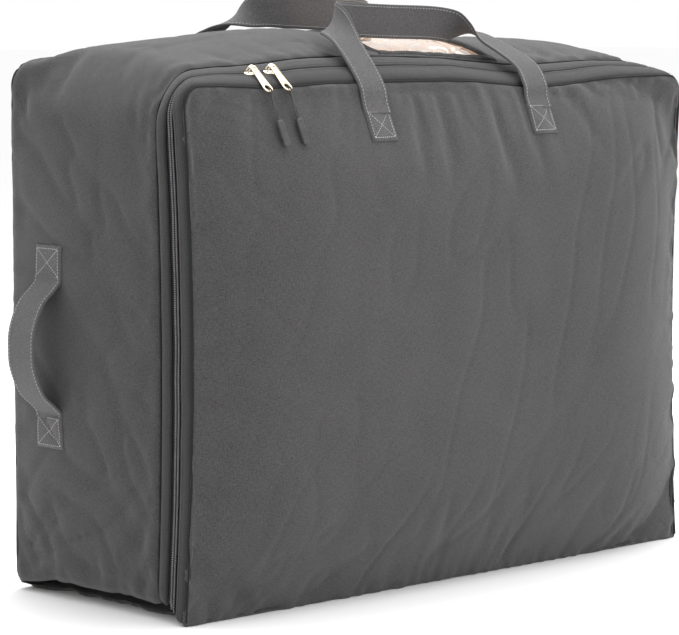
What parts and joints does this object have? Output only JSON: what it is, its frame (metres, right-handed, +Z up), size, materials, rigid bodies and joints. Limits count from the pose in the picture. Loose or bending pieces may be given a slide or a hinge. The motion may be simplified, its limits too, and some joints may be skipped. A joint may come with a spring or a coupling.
{
  "type": "under bed storage bag",
  "caption": "Soft canvas storage bag for under a bed, with a zip-open front panel, a clear top window, webbing handles and two zip pulls.",
  "frame": {"origin": "centre of the base that the bag stands on", "axes": "+X along the bag's width, -Y toward the zip-open front panel, +Z up"},
  "size_m": [0.7756, 0.2974, 0.5843],
  "materials": {
    "canvas": "matte woven canvas",
    "seam_binding": "matte folded binding",
    "zip_tape": "matte woven tape",
    "coil": "satin nylon coil",
    "webbing": "matte canvas webbing",
    "thread": "stitched thread",
    "lining": "plain beige lining",
    "film": "soft clear vinyl",
    "pull_metal": "pale gold plated",
    "rubber": "moulded dark rubber",
    "pull_cord": "braided cord"
  },
  "bodies": {
    "bag": {"back_panel": "canvas", "bottom_panel": "canvas", "side_gusset": "canvas", "rear_zip_strip": "canvas", "rear_zip_tape": "zip_tape", "rear_zip_coil": "coil", "window_film": "film", "window_binding": "seam_binding", "back_seam_binding": "seam_binding", "gusset_lining": "lining", "back_lining": "lining", "hinge_fold": "seam_binding", "back_handle_ends": "webbing", "back_handle_stitching": "thread", "left_handle_ends": "webbing", "left_handle_stitching": "thread", "right_handle_ends": "webbing", "right_handle_stitching": "thread"},
    "lid": {"front_panel": "canvas", "front_zip_strip": "canvas", "front_zip_tape": "zip_tape", "front_zip_coil": "coil", "front_seam_binding": "seam_binding", "front_lining": "lining", "front_handle_ends": "webbing", "front_handle_stitching": "thread"},
    "front_strap": {"front_handle": "webbing"},
    "back_strap": {"back_handle": "webbing"},
    "left_strap": {"left_handle": "webbing"},
    "right_strap": {"right_handle": "webbing"},
    "left_slide": {"left_slider": "pull_metal"},
    "left_tab": {"left_pull_tab": "pull_metal"},
    "left_tail": {"left_pull_cord": "pull_cord", "left_pull_grip": "rubber"},
    "right_slide": {"right_slider": "pull_metal"},
    "right_tab": {"right_pull_tab": "pull_metal"},
    "right_tail": {"right_pull_cord": "pull_cord", "right_pull_grip": "rubber"}
  },
  "joints": [
    {"name": "lid_fold", "type": "hinge", "parent": "bag", "child": "lid", "pos_m": [0, -0.1265, 0.003], "axis": [1, 0, 0], "range_deg": [0, 68]},
    {"name": "front_handle_swing", "type": "hinge", "parent": "lid", "child": "front_strap", "pos_m": [0, -0.1372, 0.4762], "axis": [1, 0, 0], "range_deg": [0, 95]},
    {"name": "back_handle_swing", "type": "hinge", "parent": "bag", "child": "back_strap", "pos_m": [0, 0.1292, 0.4982], "axis": [-1, 0, 0], "range_deg": [0, 95]},
    {"name": "left_handle_rock", "type": "hinge", "parent": "bag", "child": "left_strap", "pos_m": [-0.352, 0.0605, 0.248], "axis": [0, 0, 1], "range_deg": [-12, 12]},
    {"name": "right_handle_rock", "type": "hinge", "parent": "bag", "child": "right_strap", "pos_m": [0.352, 0.0605, 0.248], "axis": [0, 0, 1], "range_deg": [-12, 12]},
    {"name": "left_zip_run", "type": "slide", "parent": "lid", "child": "left_slide", "axis": [-0.9999, 0, -0.0141], "range_m": [0, 0.0351]},
    {"name": "left_tab_lift", "type": "hinge", "parent": "left_slide", "child": "left_tab", "pos_m": [-0.245, -0.11, 0.51512], "axis": [-1, 0, 0], "range_deg": [0, 130]},
    {"name": "left_tail_swing", "type": "hinge", "parent": "left_tab", "child": "left_tail", "pos_m": [-0.245, -0.13403, 0.49272], "axis": [-1, 0, 0], "range_deg": [0, 60]},
    {"name": "right_zip_run", "type": "slide", "parent": "lid", "child": "right_slide", "axis": [0.9998, 0, 0.0175], "range_m": [0, 0.074]},
    {"name": "right_tab_lift", "type": "hinge", "parent": "right_slide", "child": "right_tab", "pos_m": [-0.221, -0.11027, 0.51605], "axis": [-1, 0, 0], "range_deg": [0, 130]},
    {"name": "right_tail_swing", "type": "hinge", "parent": "right_tab", "child": "right_tail", "pos_m": [-0.221, -0.13429, 0.49364], "axis": [-1, 0, 0], "range_deg": [0, 60]}
  ]
}
